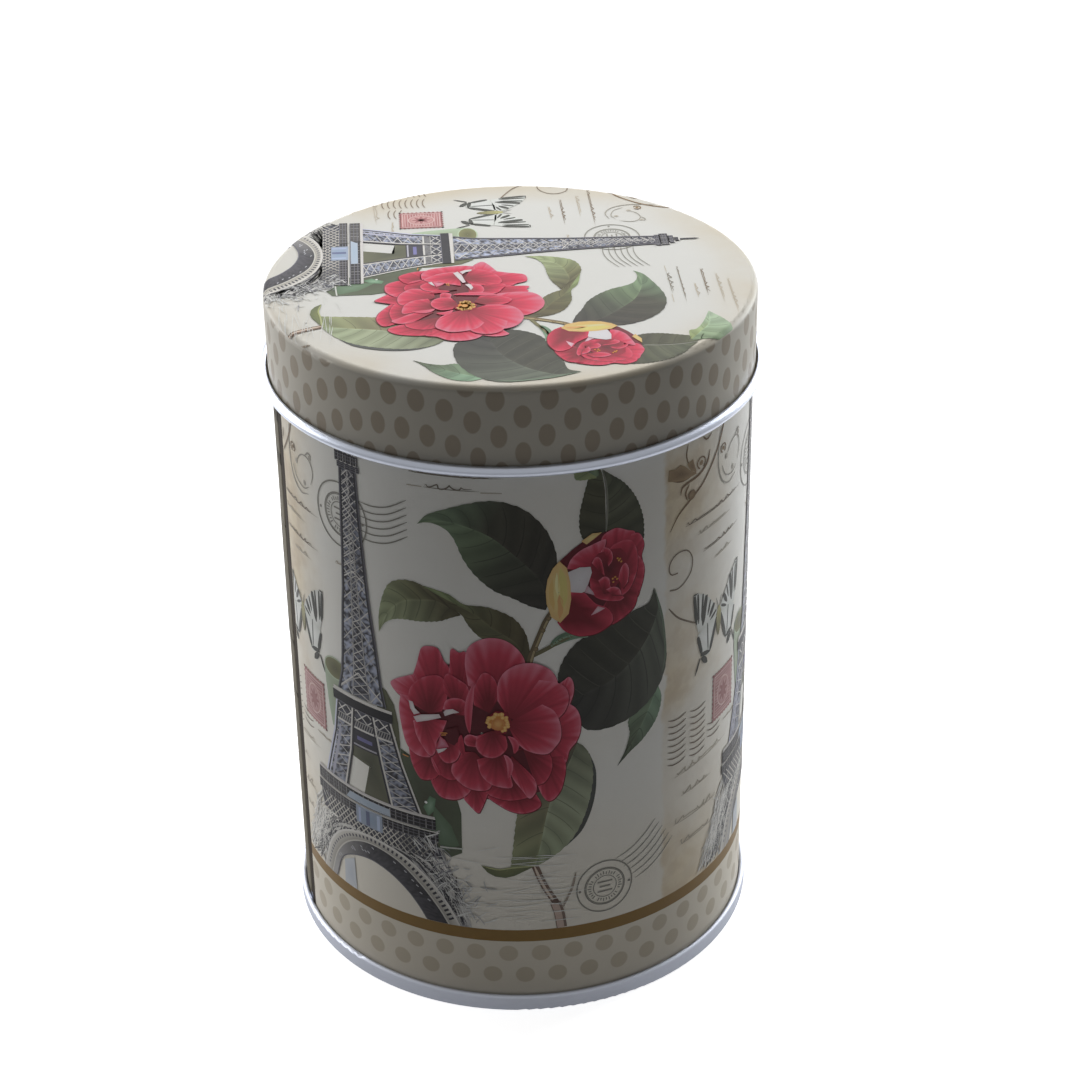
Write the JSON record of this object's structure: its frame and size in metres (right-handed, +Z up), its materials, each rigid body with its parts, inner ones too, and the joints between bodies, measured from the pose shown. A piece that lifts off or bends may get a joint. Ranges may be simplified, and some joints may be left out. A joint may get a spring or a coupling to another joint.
{
  "type": "tea caddy",
  "caption": "Tall round printed-tinplate tea caddy with a slip-on lift-off lid, a rolled wall with a side lock seam and a double-seamed base.",
  "frame": {"origin": "centre of the tin on the plane it stands on", "axes": "+Z up along the tin's axis, towards the lid; -Y faces the front of the printed picture; the side lock seam is on the left, near -X"},
  "size_m": [0.0786, 0.0786, 0.1123],
  "materials": {
    "printed_wall": "satin",
    "bare_tinplate": "satin",
    "printed_lid": "satin"
  },
  "bodies": {
    "tin": {"body_wall": "printed_wall", "base_end": "bare_tinplate"},
    "lid": {"lid": "printed_lid"}
  },
  "joints": [
    {"name": "lid_lift", "type": "slide", "parent": "tin", "child": "lid", "axis": [0, 0, 1], "range_m": [0, 0.05]}
  ]
}
